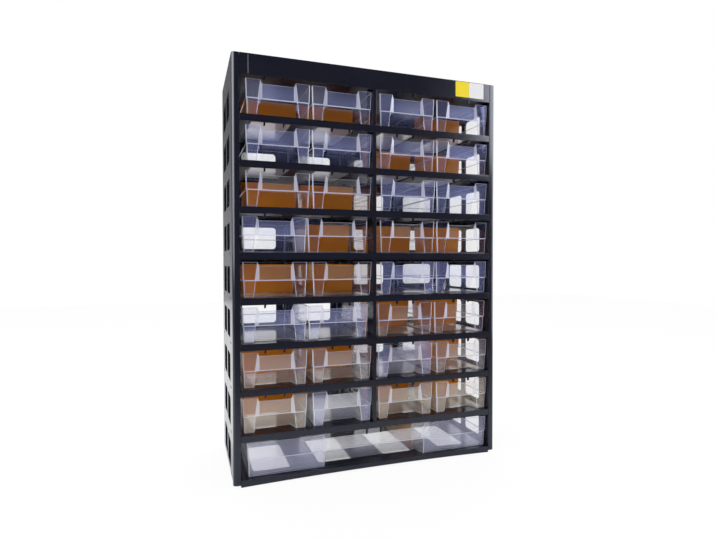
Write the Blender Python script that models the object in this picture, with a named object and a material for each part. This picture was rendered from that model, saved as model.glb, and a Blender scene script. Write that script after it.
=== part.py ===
"""Small parts drawer cabinet.

A black plastic carcass of side panels, back, top, base and eight shelves holds
eight rows of four clear drawers and one full-width drawer at the bottom.
Upright dividers of orange plastic stand in some of the drawers.

Metres, +Z up. The front faces -Y and the origin is under the middle of the base.
"""

import math

import bmesh
import bpy
from mathutils import Vector

# Overall size
CABINET_WIDTH = 0.388
CABINET_DEPTH = 0.16
CABINET_HEIGHT = 0.5565

# Rows, counted from the top; they share the height that the other parts of the front leave
ROWS = 8
TOP_ROW = 1
BASE_HEIGHT = 0.0087
BOTTOM_OPENING = 0.0484
RAIL_HEIGHT = 0.009
FASCIA_HEIGHT = 0.0266

# The front of the base is arched, and the side panels stop short of the floor
BASE_ARCH = 0.0028
BASE_ARCH_DEPTH = 0.014
BASE_ARCH_STEPS = 12
STILE_FOOT_GAP = 0.0027
SIDE_WALL_GAP = 0.0058

# Gap left between two pieces that touch
FIT_GAP = 0.0003

# Side panels: a thin wall with a broad front stile and a narrow rear lip
SIDE_WALL = 0.003
STILE_WIDTH = 0.0095
STILE_DEPTH = 0.008
STILE_ROUND = 0.0045
ARC_STEPS = 4
REAR_LIP_WIDTH = 0.004
REAR_LIP_THICKNESS = 0.002

# Shelves, uprights, back and top
SHELF_PLATE = 0.0025
RAIL_THICKNESS = 0.0035
UPRIGHT_WIDTH = 0.005
UPRIGHT_SETBACK = 0.001
UPRIGHT_FRONT_DEPTH = 0.025
UPRIGHT_REAR_DEPTH = 0.02
BACK_WALL = 0.0025
TOP_PLATE = 0.003
TOP_RIB_WIDTH = 0.004

# Tongues at the ends of shelves, base and top, which enter slots in the sides
TONGUE_THICKNESS = 0.0014
TONGUE_LENGTH = 0.014
TONGUE_ROOT = 0.002
TONGUE_FRONT = 0.022
TONGUE_REAR = 0.006

# Openings in the panels, one for each drawer column
POST_WIDTH = 0.0372
WINDOW_ROUND = 0.005
WINDOW_ROUND_STEPS = 2
BACK_WINDOW_SILL = 0.0084
BACK_WINDOW_DROP = 0.0076
SIDE_WINDOW_SILL = 0.004
SIDE_WINDOW_DROP = 0.009
SIDE_WINDOW_FRONT = 0.037
SIDE_WINDOW_BAR = 0.0104
SIDE_WINDOW_REAR = 0.0244
SHELF_OPENING_FRONT = 0.025
SHELF_OPENING_REAR = 0.019

# Stop tabs, in pairs, that hang at the back of each rail and catch a drawer's back wall
TAB_WIDTH = 0.004
TAB_THICKNESS = 0.0025
TAB_SETBACK = 0.002
TAB_SPACING = 0.025
TAB_CATCH = 0.001
STOP_GAP = 0.0005
BOTTOM_TAB_SPACING = 0.021
BOTTOM_TAB_CATCH = 0.0042

# Drawers: the walls lean out and step out once at mid-height
DRAWER_SETBACK = 0.005
DRAWER_SIDE_PLAY = 0.0108
DRAWER_SIDE_CLEAR = 0.0005
DRAWER_HEAD_GAP = 0.0034
DRAWER_REAR_GAP = 0.0005
DRAWER_WALL = 0.0014
DRAWER_FLOOR = 0.0016
DRAWER_LEAN = 0.0007
STEP_HEIGHT = 0.0228
STEP_RISE = 0.0009
STEP_WIDTH = 0.0007
BOTTOM_SIDE_PLAY = 0.0103
BOTTOM_SIDE_SHIFT = 0.34
FRONT_DROP = 0.005

# Finger recess between the two pillars of a drawer front, at the top, step and bottom
PILLAR_TOP = 0.0195
PILLAR_STEP = 0.0155
PILLAR_BOTTOM = 0.0125
BOTTOM_PILLAR_TOP = 0.103
BOTTOM_PILLAR_STEP = 0.1025
BOTTOM_PILLAR_BOTTOM = 0.102
RECESS_DEPTH_TOP = 0.0008
RECESS_DEPTH_STEP = 0.0008
RECESS_DEPTH_BOTTOM = 0.0165
RECESS_SLANT_TOP = 0.0022
RECESS_SLANT_STEP = 0.0055
RECESS_SLANT_BOTTOM = 0.005

# Dividers
DIVIDER_THICKNESS = 0.0016
DIVIDER_BACK = 0.079
DIVIDER_DROP = 0.003
BOTTOM_DIVIDER_OFFSET = 0.0645
BOTTOM_DIVIDER_FRONT = 0.0195

# Where the two drawers of a bay rest in their side play: the share of it that is
# left of the first drawer, and the share between the two, for the left and right bay
SIDE_REST = (
    ((0.83, 0.17), (0.63, 0.35)),
    ((0.81, 0.19), (0.66, 0.33)),
    ((0.78, 0.22), (0.83, 0.16)),
    ((0.27, 0.01), (0.68, 0.31)),
    ((0.31, 0.69), (0.76, 0.14)),
    ((0.25, 0.12), (0.31, 0.31)),
    ((0.27, 0.68), (0.35, 0.63)),
    ((0.25, 0.75), (0.35, 0.63)),
)

# Columns whose drawer holds a divider, for the rows that are modelled with one
DIVIDER_COLUMNS = {1: (1, 2, 4), 2: (3, 4), 3: (1, 2), 4: (2, 3, 4), 5: (1, 2)}

# Values worked out from the sizes above
HALF_WIDTH = CABINET_WIDTH / 2
FRONT = -CABINET_DEPTH / 2
REAR = CABINET_DEPTH / 2
ROW_PITCH = (CABINET_HEIGHT - FASCIA_HEIGHT - BASE_HEIGHT - BOTTOM_OPENING) / ROWS
ROW_OPENING = ROW_PITCH - RAIL_HEIGHT
LOWEST_SHELF_TOP = BASE_HEIGHT + BOTTOM_OPENING + RAIL_HEIGHT
STILE_INNER = HALF_WIDTH - STILE_WIDTH
WALL_INNER = HALF_WIDTH - SIDE_WALL
BAY_WIDTH = STILE_INNER - UPRIGHT_WIDTH / 2
COLUMN_PITCH = BAY_WIDTH / 2
WINDOW_WIDTH = COLUMN_PITCH - POST_WIDTH
PANEL_REAR = REAR - REAR_LIP_THICKNESS - FIT_GAP
BACK_FACE = PANEL_REAR - BACK_WALL
SHELF_REAR = BACK_FACE - FIT_GAP
DRAWER_WIDTH = (BAY_WIDTH - DRAWER_SIDE_PLAY) / 2
BOTTOM_DRAWER_WIDTH = 2 * STILE_INNER - BOTTOM_SIDE_PLAY
DRAWER_FRONT = FRONT + DRAWER_SETBACK
DRAWER_LENGTH = BACK_FACE - DRAWER_REAR_GAP - DRAWER_FRONT
DRAWER_HEIGHT = ROW_OPENING - DRAWER_HEAD_GAP - FIT_GAP
BOTTOM_DRAWER_HEIGHT = BOTTOM_OPENING - DRAWER_HEAD_GAP - FIT_GAP
DRAWER_TRAVEL = DRAWER_SETBACK + DRAWER_LENGTH - DRAWER_WALL - TAB_SETBACK - TAB_THICKNESS - STOP_GAP


def shelf_top(row):
    """Height of the floor that a row's drawers stand on."""
    return LOWEST_SHELF_TOP + (ROWS - row) * ROW_PITCH


def column_centre(column):
    """Middle of a drawer column, 1 to 4 from the left."""
    from_stile = (column - 0.5) * COLUMN_PITCH
    upright = UPRIGHT_WIDTH if column > 2 else 0.0
    return -STILE_INNER + from_stile + upright


def make_material(name, colour, roughness, transmission=0.0):
    material = bpy.data.materials.new(name)
    material.use_nodes = True
    shader = material.node_tree.nodes["Principled BSDF"]
    shader.inputs["Base Color"].default_value = (*colour, 1.0)
    shader.inputs["Roughness"].default_value = roughness
    shader.inputs["Metallic"].default_value = 0.0
    shader.inputs["Transmission Weight"].default_value = transmission
    return material


def add_prism(bm, outline, axis, low, high):
    """Add a closed prism: an outline in the two other axes, drawn out along axis."""
    rest = [other for other in range(3) if other != axis]

    def corner(point, level):
        place = [0.0, 0.0, 0.0]
        place[axis] = level
        place[rest[0]], place[rest[1]] = point
        return bm.verts.new(place)

    lower = [corner(point, low) for point in outline]
    upper = [corner(point, high) for point in outline]
    faces = [bm.faces.new(lower), bm.faces.new(upper)]
    count = len(outline)
    for i in range(count):
        j = (i + 1) % count
        faces.append(bm.faces.new((lower[i], lower[j], upper[j], upper[i])))
    bmesh.ops.recalc_face_normals(bm, faces=faces)


def rectangle(low, high):
    return [(low[0], low[1]), (high[0], low[1]), (high[0], high[1]), (low[0], high[1])]


def rounded_rectangle(low, high, radius=WINDOW_ROUND):
    """Rectangle whose corners are arcs."""
    left, right = low[0] + radius, high[0] - radius
    bottom, top = low[1] + radius, high[1] - radius
    points = []
    for quarter, (x, y) in enumerate(((right, top), (left, top), (left, bottom), (right, bottom))):
        for step in range(WINDOW_ROUND_STEPS + 1):
            angle = (quarter + step / WINDOW_ROUND_STEPS) * math.pi / 2
            points.append((x + radius * math.cos(angle), y + radius * math.sin(angle)))
    return points


def mesh_of(name, prisms):
    """Mesh of several prisms, each given as (outline, axis, low, high)."""
    bm = bmesh.new()
    for outline, axis, low, high in prisms:
        add_prism(bm, outline, axis, low, high)
    mesh = bpy.data.meshes.new(name)
    bm.to_mesh(mesh)
    bm.free()
    return mesh


def add_object(name, mesh):
    obj = bpy.data.objects.new(name, mesh)
    bpy.context.scene.collection.objects.link(obj)
    return obj


def carve(name, body, joined, cut):
    """Mesh of the body prisms, with the joined prisms added and the cut ones taken out."""
    work = add_object(name, mesh_of(name, body[:1]))
    tools = [("UNION", [prism]) for prism in body[1:]]
    tools += [("UNION", joined), ("DIFFERENCE", cut)]
    helpers = []
    for operation, prisms in tools:
        if not prisms:
            continue
        helper = add_object(name + "_tool", mesh_of(name + "_tool", prisms))
        modifier = work.modifiers.new(operation.title(), "BOOLEAN")
        modifier.operation = operation
        modifier.solver = "EXACT"
        modifier.object = helper
        helpers.append(helper)
    graph = bpy.context.evaluated_depsgraph_get()
    mesh = bpy.data.meshes.new_from_object(work.evaluated_get(graph))
    for obj in helpers + [work]:
        bpy.data.objects.remove(obj)
    mesh.name = name
    return mesh


def plate_outline(rear):
    """Plan of a shelf, base or top, cut out at the front corners for the stiles."""
    front_x = STILE_INNER - FIT_GAP
    rear_x = WALL_INNER - FIT_GAP
    shoulder = FRONT + STILE_DEPTH + FIT_GAP
    right = [(front_x, FRONT), (front_x, shoulder), (rear_x, shoulder), (rear_x, rear)]
    left = [(-x, y) for x, y in reversed(right)]
    return right + left


def tongue_spans():
    """Front and rear tongue, as start and end along Y."""
    front = FRONT + TONGUE_FRONT
    rear = SHELF_REAR - TONGUE_REAR
    return ((front, front + TONGUE_LENGTH), (rear - TONGUE_LENGTH, rear))


def tongues(height):
    """Tongues at both ends of a plate, centred on the given height."""
    inner = WALL_INNER - FIT_GAP - TONGUE_ROOT
    outer = HALF_WIDTH - FIT_GAP
    low = height - TONGUE_THICKNESS / 2
    high = height + TONGUE_THICKNESS / 2
    prisms = []
    for start, end in tongue_spans():
        prisms.append((rectangle((inner, start), (outer, end)), 2, low, high))
        prisms.append((rectangle((-outer, start), (-inner, end)), 2, low, high))
    return prisms


def floor_openings(low, high):
    """Cutters for the openings of a shelf or base, one under each drawer column."""
    front = FRONT + SHELF_OPENING_FRONT
    rear = SHELF_REAR - SHELF_OPENING_REAR
    prisms = []
    for column in range(1, 5):
        x = column_centre(column)
        outline = rounded_rectangle((x - WINDOW_WIDTH / 2, front), (x + WINDOW_WIDTH / 2, rear))
        prisms.append((outline, 2, low, high))
    return prisms


def tab_centres(bottom):
    """Middles of the stop tabs, for the bottom drawer or for the four columns."""
    if bottom:
        return [side * BOTTOM_TAB_SPACING / 2 for side in (-1, 1)]
    return [column_centre(column) + side * TAB_SPACING / 2 for column in range(1, 5) for side in (-1, 1)]


def tab_prisms(bottom, low, high):
    front = FRONT + TAB_SETBACK
    half = TAB_WIDTH / 2
    prisms = []
    for x in tab_centres(bottom):
        prisms.append((rectangle((x - half, front), (x + half, front + TAB_THICKNESS)), 2, low, high))
    return prisms


def tab_tip(bottom):
    """Height of the tab tips above the floor of the bottom drawer or of a row."""
    if bottom:
        return FIT_GAP + BOTTOM_DRAWER_HEIGHT - BOTTOM_TAB_CATCH
    return FIT_GAP + DRAWER_HEIGHT - TAB_CATCH


def upright_posts():
    """Side views of the front and rear post that stand on a shelf and reach the shelf above."""
    low = -SHELF_PLATE / 2
    high = ROW_PITCH - SHELF_PLATE - FIT_GAP
    under_rail = ROW_OPENING - FIT_GAP
    front = FRONT + UPRIGHT_SETBACK
    behind_rail = FRONT + RAIL_THICKNESS + FIT_GAP
    depth = FRONT + UPRIGHT_FRONT_DEPTH
    front_post = [(front, low), (depth, low), (depth, high)]
    front_post += [(behind_rail, high), (behind_rail, under_rail), (front, under_rail)]
    rear_post = rectangle((SHELF_REAR - UPRIGHT_REAR_DEPTH, low), (SHELF_REAR, high))
    return (front_post, rear_post)


def shelf_mesh(name, bottom):
    """Shelf with its front rail, the upright that stands on it and the tabs below it; its top is Z 0."""
    below = -(BOTTOM_OPENING if bottom else ROW_OPENING) - RAIL_HEIGHT
    tip = below + tab_tip(bottom)
    front_x = STILE_INNER - FIT_GAP
    rail = rectangle((-front_x, FRONT), (front_x, FRONT + RAIL_THICKNESS))
    body = [
        (plate_outline(SHELF_REAR), 2, -SHELF_PLATE, 0.0),
        (rail, 2, -RAIL_HEIGHT, 0.0),
    ]
    joined = [(post, 0, -UPRIGHT_WIDTH / 2, UPRIGHT_WIDTH / 2) for post in upright_posts()]
    joined += tab_prisms(bottom, tip, -SHELF_PLATE / 2)
    joined += tongues(-SHELF_PLATE / 2)
    return carve(name, body, joined, floor_openings(-RAIL_HEIGHT, RAIL_HEIGHT))


def side_window_spans():
    """Front and rear window of a side panel, as start and end along Y."""
    start = FRONT + SIDE_WINDOW_FRONT
    end = REAR - SIDE_WINDOW_REAR
    middle = (start + end) / 2
    return ((start, middle - SIDE_WINDOW_BAR / 2), (middle + SIDE_WINDOW_BAR / 2, end))


def base_arch():
    """Cutter that arches the front of the base, as a parabola."""
    half = STILE_INNER - FIT_GAP
    shares = [(2 * i - BASE_ARCH_STEPS) / (BASE_ARCH_STEPS + 1) for i in range(BASE_ARCH_STEPS + 1)]
    curve = [(half * share, BASE_ARCH * (1 - share ** 2)) for share in shares]
    outline = [(curve[-1][0], -BASE_ARCH), (curve[0][0], -BASE_ARCH)] + curve
    return (outline, 1, FRONT - BASE_ARCH_DEPTH, FRONT + BASE_ARCH_DEPTH)


def base_mesh(name):
    body = [(plate_outline(PANEL_REAR), 2, 0.0, BASE_HEIGHT)]
    cut = floor_openings(-BASE_HEIGHT, 2 * BASE_HEIGHT) + [base_arch()]
    return carve(name, body, tongues(BASE_HEIGHT - SHELF_PLATE / 2), cut)


def top_mesh(name):
    """Top plate with its front fascia, a ceiling over the top row and ribs, one with the tabs."""
    under = CABINET_HEIGHT - TOP_PLATE
    inside = CABINET_HEIGHT - TOP_PLATE / 2
    rib_low = shelf_top(TOP_ROW) + ROW_PITCH - SHELF_PLATE
    tip = shelf_top(TOP_ROW) + tab_tip(False)
    front_x = STILE_INNER - FIT_GAP
    fascia = rectangle((-front_x, FRONT), (front_x, FRONT + RAIL_THICKNESS))
    tab_rear = FRONT + TAB_SETBACK + TAB_THICKNESS
    body = [
        (plate_outline(PANEL_REAR), 2, under, CABINET_HEIGHT),
        (fascia, 2, CABINET_HEIGHT - FASCIA_HEIGHT, CABINET_HEIGHT),
        (plate_outline(SHELF_REAR), 2, rib_low, rib_low + SHELF_PLATE),
    ]
    comb = [(front_x, inside), (-front_x, inside), (-front_x, rib_low)]
    for x in tab_centres(False):
        left = x - TAB_WIDTH / 2
        right = x + TAB_WIDTH / 2
        comb += [(left, rib_low), (left, tip), (right, tip), (right, rib_low)]
    comb.append((front_x, rib_low))
    middle_rib = rectangle(
        (-TOP_RIB_WIDTH / 2, tab_rear + FIT_GAP),
        (TOP_RIB_WIDTH / 2, SHELF_REAR - FIT_GAP),
    )
    joined = [(comb, 1, FRONT + TAB_SETBACK, tab_rear), (middle_rib, 2, rib_low, inside)]
    joined += tongues(inside)
    return carve(name, body, joined, [])


def row_spans():
    """Floor and opening height of every row, from the top one to the bottom drawer's."""
    spans = [(shelf_top(row), ROW_OPENING) for row in range(1, ROWS + 1)]
    return spans + [(BASE_HEIGHT, BOTTOM_OPENING)]


def back_mesh(name):
    half = WALL_INNER - FIT_GAP
    sheet = rectangle((-half, BASE_HEIGHT + FIT_GAP), (half, CABINET_HEIGHT - TOP_PLATE - FIT_GAP))
    cut = []
    for floor, opening in row_spans():
        for column in range(1, 5):
            x = column_centre(column)
            low = (x - WINDOW_WIDTH / 2, floor + BACK_WINDOW_SILL)
            high = (x + WINDOW_WIDTH / 2, floor + opening - BACK_WINDOW_DROP)
            cut.append((rounded_rectangle(low, high), 1, BACK_FACE - BACK_WALL, REAR))
    return carve(name, [(sheet, 1, BACK_FACE, PANEL_REAR)], [], cut)


def side_mesh(name, side):
    """Side panel: stile, wall and rear lip in one section, with windows and slots; side is -1 or 1."""
    section = [
        (STILE_INNER, FRONT),
        (STILE_INNER, FRONT + STILE_DEPTH),
        (WALL_INNER, FRONT + STILE_DEPTH),
        (WALL_INNER, REAR - REAR_LIP_THICKNESS),
        (WALL_INNER - REAR_LIP_WIDTH, REAR - REAR_LIP_THICKNESS),
        (WALL_INNER - REAR_LIP_WIDTH, REAR),
        (HALF_WIDTH, REAR),
    ]
    for step in range(ARC_STEPS + 1):
        angle = step / ARC_STEPS * math.pi / 2
        x = HALF_WIDTH - STILE_ROUND + STILE_ROUND * math.cos(angle)
        y = FRONT + STILE_ROUND - STILE_ROUND * math.sin(angle)
        section.append((x, y))
    section = [(side * x, y) for x, y in section]
    reach = sorted((side * (WALL_INNER - SIDE_WALL), side * (HALF_WIDTH + SIDE_WALL)))
    cut = []
    for floor, opening in row_spans():
        for start, end in side_window_spans():
            low = (start, floor + SIDE_WINDOW_SILL)
            high = (end, floor + opening - SIDE_WINDOW_DROP)
            cut.append((rounded_rectangle(low, high), 0, *reach))
    levels = [floor - SHELF_PLATE / 2 for floor, opening in row_spans()]
    levels.append(CABINET_HEIGHT - TOP_PLATE / 2)
    slot = TONGUE_THICKNESS / 2 + FIT_GAP
    for level in levels:
        for start, end in tongue_spans():
            outline = rectangle((start - FIT_GAP, level - slot), (end + FIT_GAP, level + slot))
            cut.append((outline, 0, *reach))
    under_wall = rectangle((FRONT + STILE_DEPTH, 0.0), (REAR + SIDE_WALL, SIDE_WALL_GAP))
    cut.append((under_wall, 0, *reach))
    return carve(name, [(section, 2, STILE_FOOT_GAP, CABINET_HEIGHT)], [], cut)


def mix(a, b, share):
    return a + (b - a) * share


def drawer_levels(height, pillars):
    """Outline values at the bottom, under and over the step, and at the top of a drawer.

    Each level is (height, inset from the top outline, pillar width, recess depth, recess slant).
    """
    pillar_bottom, pillar_step, pillar_top = pillars
    over = DRAWER_LEAN
    under = over + STEP_WIDTH
    return (
        (0.0, under + DRAWER_LEAN, pillar_bottom, RECESS_DEPTH_BOTTOM, RECESS_SLANT_BOTTOM),
        (STEP_HEIGHT - STEP_RISE, under, pillar_step, RECESS_DEPTH_STEP, RECESS_SLANT_STEP),
        (STEP_HEIGHT, over, pillar_step, RECESS_DEPTH_STEP, RECESS_SLANT_STEP),
        (height, 0.0, pillar_top, RECESS_DEPTH_TOP, RECESS_SLANT_TOP),
    )


def drawer_outline(level, width):
    """Plan of a drawer at one level, counter-clockwise from the front left corner."""
    _, inset, pillar, depth, slant = level
    half = width / 2 - inset
    edge = half - pillar
    front = inset
    rear = DRAWER_LENGTH - inset
    right = [(edge - slant, front + depth), (edge, front), (half, front), (half, rear)]
    left = [(-x, y) for x, y in reversed(right)]
    return left[1:] + right + left[:1]


def inset_outline(points, distance):
    """Outline moved inwards by a distance, with its corners kept sharp."""
    moved = []
    count = len(points)
    for i in range(count):
        before = Vector(points[i - 1])
        here = Vector(points[i])
        after = Vector(points[(i + 1) % count])
        along_in = (here - before).normalized()
        along_out = (after - here).normalized()
        normal_in = Vector((-along_in.y, along_in.x))
        normal_out = Vector((-along_out.y, along_out.x))
        shift = (normal_in + normal_out) / (1 + normal_in.dot(normal_out))
        moved.append(tuple(here + shift * distance))
    return moved


def drawer_mesh(name, width, height, pillars):
    """Open tray lofted through its levels; the front between the pillars is lower at the top."""
    levels = drawer_levels(height, pillars)
    share = DRAWER_FLOOR / levels[1][0]
    floor_level = tuple(mix(a, b, share) for a, b in zip(levels[0], levels[1]))
    outer = [(level, drawer_outline(level, width)) for level in levels]
    inner = [(level, drawer_outline(level, width)) for level in (floor_level,) + levels[1:]]
    inner = [(level, inset_outline(points, DRAWER_WALL)) for level, points in inner]
    bm = bmesh.new()

    def ring(level, points):
        verts = []
        for x, y in points:
            between = abs(x) < width / 2 - pillars[2] - RECESS_SLANT_TOP / 2 and y < DRAWER_LENGTH / 2
            z = height - FRONT_DROP if between and level[0] == height else level[0]
            verts.append(bm.verts.new((x, y, z)))
        return verts

    outer_rings = [ring(level, points) for level, points in outer]
    inner_rings = [ring(level, points) for level, points in inner]
    rings = outer_rings + inner_rings[::-1]
    for low, high in zip(rings, rings[1:]):
        for i in range(len(low)):
            j = (i + 1) % len(low)
            bm.faces.new((low[i], low[j], high[j], high[i]))
    bm.faces.new(rings[0])
    bm.faces.new(rings[-1])
    bmesh.ops.recalc_face_normals(bm, faces=bm.faces)
    bmesh.ops.triangulate(bm, faces=bm.faces)
    mesh = bpy.data.meshes.new(name)
    bm.to_mesh(mesh)
    bm.free()
    return mesh


def divider_outline(width, height):
    """Front view of a cross divider, a fit gap clear of the drawer's walls."""
    levels = drawer_levels(height, (PILLAR_BOTTOM, PILLAR_STEP, PILLAR_TOP))
    top = height - DIVIDER_DROP
    wall = DRAWER_WALL + FIT_GAP
    edge = [(width / 2 - level[1] - wall, level[0]) for level in levels]
    edge[0] = (edge[0][0], DRAWER_FLOOR + FIT_GAP)
    edge[2] = (edge[2][0], edge[2][1] + FIT_GAP)
    share = (top - edge[2][1]) / (edge[3][1] - edge[2][1])
    edge[3] = (mix(edge[2][0], edge[3][0], share), top)
    return edge + [(-x, z) for x, z in reversed(edge)]


def bottom_divider_outline():
    """Side view of the bottom drawer's lengthwise divider."""
    low = DRAWER_FLOOR + FIT_GAP
    top = BOTTOM_DRAWER_HEIGHT - DIVIDER_DROP
    inset = DRAWER_LEAN * 2 + STEP_WIDTH
    rear = DRAWER_LENGTH - inset - DRAWER_WALL - FIT_GAP
    return rectangle((BOTTOM_DIVIDER_FRONT, low), (rear, top))


def drawer_centres(row):
    """Middles of a row's four drawers, each resting somewhere in its bay's side play."""
    centres = []
    free = DRAWER_SIDE_PLAY - 3 * DRAWER_SIDE_CLEAR
    for bay_left, (first, between) in zip((-STILE_INNER, UPRIGHT_WIDTH / 2), SIDE_REST[row - 1]):
        left = bay_left + DRAWER_SIDE_CLEAR + first * free
        centres.append(left + DRAWER_WIDTH / 2)
        left += DRAWER_WIDTH + DRAWER_SIDE_CLEAR + between * free
        centres.append(left + DRAWER_WIDTH / 2)
    return centres


def place(name, mesh, material, location=(0.0, 0.0, 0.0), parent=None):
    obj = add_object(name, mesh)
    if not mesh.materials:
        mesh.materials.append(material)
    obj.location = location
    obj.parent = parent
    return obj


def build_carcass(black, cabinet):
    place("side_panel_left", side_mesh("side_panel_left", -1), black, parent=cabinet)
    place("side_panel_right", side_mesh("side_panel_right", 1), black, parent=cabinet)
    place("top_panel", top_mesh("top_panel"), black, parent=cabinet)
    place("base_panel", base_mesh("base_panel"), black, parent=cabinet)
    place("back_panel", back_mesh("back_panel"), black, parent=cabinet)
    shelf = shelf_mesh("shelf", False)
    lowest = shelf_mesh("shelf_over_bottom_drawer", True)
    for row in range(1, ROWS + 1):
        mesh = lowest if row == ROWS else shelf
        place(f"shelf_{row}", mesh, black, (0.0, 0.0, shelf_top(row)), cabinet)


def build_drawers(clear, orange, cabinet):
    pillars = (PILLAR_BOTTOM, PILLAR_STEP, PILLAR_TOP)
    tray = drawer_mesh("drawer", DRAWER_WIDTH, DRAWER_HEIGHT, pillars)
    outline = divider_outline(DRAWER_WIDTH, DRAWER_HEIGHT)
    half = DIVIDER_THICKNESS / 2
    divider = mesh_of("divider", [(outline, 1, DIVIDER_BACK - half, DIVIDER_BACK + half)])
    for row in range(1, ROWS + 1):
        for column, x in enumerate(drawer_centres(row), start=1):
            seat = (x, DRAWER_FRONT, shelf_top(row) + FIT_GAP)
            drawer = place(f"drawer_r{row}_c{column}", tray, clear, seat, cabinet)
            if column in DIVIDER_COLUMNS.get(row, ()):
                place(f"divider_r{row}_c{column}", divider, orange, parent=drawer)


def build_bottom_drawer(clear, orange, cabinet):
    pillars = (BOTTOM_PILLAR_BOTTOM, BOTTOM_PILLAR_STEP, BOTTOM_PILLAR_TOP)
    tray = drawer_mesh("bottom_drawer", BOTTOM_DRAWER_WIDTH, BOTTOM_DRAWER_HEIGHT, pillars)
    x = BOTTOM_SIDE_SHIFT * (BOTTOM_SIDE_PLAY - 2 * DRAWER_SIDE_CLEAR)
    drawer = place("bottom_drawer", tray, clear, (x, DRAWER_FRONT, BASE_HEIGHT + FIT_GAP), cabinet)
    start = BOTTOM_DIVIDER_OFFSET - DIVIDER_THICKNESS / 2
    end = BOTTOM_DIVIDER_OFFSET + DIVIDER_THICKNESS / 2
    plate = mesh_of("bottom_divider", [(bottom_divider_outline(), 0, start, end)])
    place("bottom_divider", plate, orange, parent=drawer)


def main():
    for obj in list(bpy.data.objects):
        bpy.data.objects.remove(obj)
    cabinet = add_object("cabinet", None)
    black = make_material("black_plastic", (0.012, 0.013, 0.018), 0.35)
    clear = make_material("clear_plastic", (0.86, 0.89, 0.93), 0.12, 0.9)
    orange = make_material("orange_plastic", (0.55, 0.2, 0.01), 0.4)
    build_carcass(black, cabinet)
    build_drawers(clear, orange, cabinet)
    build_bottom_drawer(clear, orange, cabinet)


main()
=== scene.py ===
import math

import bmesh
import bpy
from mathutils import Matrix, Vector


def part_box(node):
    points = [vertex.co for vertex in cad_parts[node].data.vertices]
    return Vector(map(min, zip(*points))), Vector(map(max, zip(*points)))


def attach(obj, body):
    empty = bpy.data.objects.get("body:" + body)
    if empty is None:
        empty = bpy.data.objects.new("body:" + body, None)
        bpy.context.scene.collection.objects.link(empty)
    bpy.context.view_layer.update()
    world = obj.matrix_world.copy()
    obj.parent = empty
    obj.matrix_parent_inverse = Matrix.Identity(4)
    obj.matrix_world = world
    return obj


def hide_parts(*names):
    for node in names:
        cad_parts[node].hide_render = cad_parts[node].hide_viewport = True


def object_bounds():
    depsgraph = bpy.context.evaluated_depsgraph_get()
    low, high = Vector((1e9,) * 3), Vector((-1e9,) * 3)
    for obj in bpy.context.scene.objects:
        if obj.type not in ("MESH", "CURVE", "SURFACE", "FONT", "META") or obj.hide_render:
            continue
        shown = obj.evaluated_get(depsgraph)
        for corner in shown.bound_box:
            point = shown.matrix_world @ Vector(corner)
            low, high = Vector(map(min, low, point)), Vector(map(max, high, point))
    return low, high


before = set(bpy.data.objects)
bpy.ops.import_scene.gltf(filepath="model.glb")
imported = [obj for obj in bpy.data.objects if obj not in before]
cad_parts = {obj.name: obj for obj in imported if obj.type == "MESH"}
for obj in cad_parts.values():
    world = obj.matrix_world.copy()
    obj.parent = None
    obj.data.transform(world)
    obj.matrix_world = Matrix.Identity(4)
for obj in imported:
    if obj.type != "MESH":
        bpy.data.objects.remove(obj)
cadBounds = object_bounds()
print("frame loaded:", len(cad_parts), "nodes")

mm = 0.001
overcut = 1.0 * mm  # how far a cutting shape reaches past a face

# camera, fitted to the photograph's edges; the image is 716 x 540
view = {
    "imageWidth": 716,
    "focalPixels": 498.69,
    "place": (-249.2 * mm, -730.1 * mm, 290.7 * mm),
    "yaw": math.radians(19.004),  # turned towards +X
    "pitch": math.radians(-0.977),
    "roll": math.radians(-0.078),
    "sensor": 36.0,
    "clipStart": 0.01,
}

studio = {
    "fillFront": 0.75,  # soft light on the object, from the front and from behind
    "fillBack": 1.0,
    "mirrorFront": 0.06,  # what gloss mirrors of the dark room in front and the white backdrop
    "mirrorBack": 1.0,
    "mirrorHigh": 0.17,  # share of that left where the backdrop ends, at the upper left
    "backdropEnds": (-0.6, 0.35),  # directions between which the room turns into the backdrop
    "leftEnds": (0.05, -0.05),
    "cornerEnds": (-0.55, 0.33),
    "roomTone": (0.62, 0.70, 1.0, 1),  # colour of the dark room that gloss mirrors
    "floorHalf": 3.0,
    "floorGap": 0.4 * mm,
    "floorShade": 0.08,  # how much of the object's shadow the camera sees
    "floorBright": -0.2,  # the mirrored floor is white up to here, and darkens towards the front
    "floorDark": -1.2,
    "floorTones": ((0.05, 0.05, 0.06, 1), (0.92, 0.92, 0.93, 1)),
    "floorRoughness": 0.9,
    "clearLayers": 48,  # clear faces that one ray may pass
    "softboxes": (
        {"place": (-1.1, -0.4, 0.8), "size": (1.6, 1.2), "power": 34.0, "onlyGloss": True},
        {"place": (1.2, -0.5, 0.55), "size": (1.2, 1.2), "power": 26.0, "onlyGloss": True},
        {"place": (0.80, -0.88, 0.80), "size": (0.2, 0.36), "power": 1.8, "onlyGloss": True},
        {"place": (-1.4, -0.5, 1.1), "size": (0.9, 1.2), "power": 9.0, "onlyGloss": False},
        {"place": (0.2, 0.3, 1.9), "size": (1.4, 1.0), "power": 12.0, "onlyGloss": False},
    ),
}

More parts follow.
